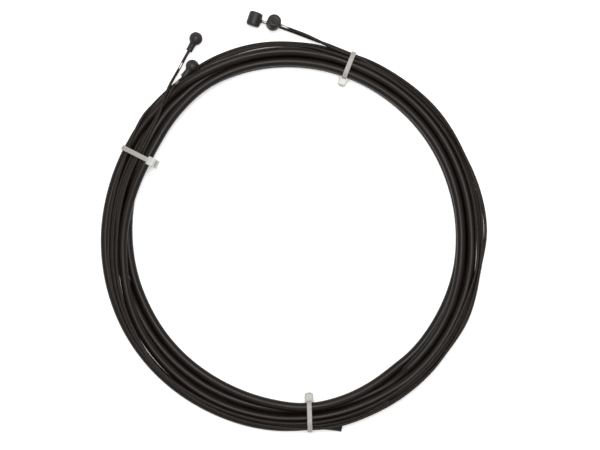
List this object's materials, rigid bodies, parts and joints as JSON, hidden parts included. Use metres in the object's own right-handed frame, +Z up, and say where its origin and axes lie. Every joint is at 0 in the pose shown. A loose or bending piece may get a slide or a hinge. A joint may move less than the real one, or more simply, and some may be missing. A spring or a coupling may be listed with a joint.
{
  "type": "bicycle brake cable",
  "caption": "Coiled bicycle brake cable: black outer housing and coated inner wires with nipples, held by clear nylon ties.",
  "frame": {"origin": "centre of the part's box on the surface that it lies on", "axes": "+Z up out of the flat coil, +Y towards the side where the nipples stick out"},
  "size_m": [0.2058, 0.2267, 0.0143],
  "materials": {
    "jacket": "smooth black, semi-gloss",
    "wire_coating": "thin black coating over strand",
    "wound_steel": "bright wound flat wire",
    "liner": "waxy white",
    "nipple_metal": "dark plated, finely pitted",
    "nylon": "clear off-white moulding"
  },
  "bodies": {
    "root": {"housing_coil": "jacket", "rear_wire_coil": "wire_coating", "front_wire_coil": "wire_coating", "housing_end_jacket": "jacket", "housing_end_winding": "wound_steel", "housing_end_liner": "liner", "front_wire_barrel_end": "wire_coating", "front_wire_barrel_nipple": "nipple_metal", "rear_wire_barrel_end": "wire_coating", "rear_wire_barrel_nipple": "nipple_metal", "front_wire_pear_end": "wire_coating", "front_wire_pear_nipple": "nipple_metal", "rear_wire_pear_end": "wire_coating", "rear_wire_pear_nipple": "nipple_metal", "upper_tie": "nylon", "side_tie": "nylon", "lower_tie": "nylon"}
  },
  "joints": []
}
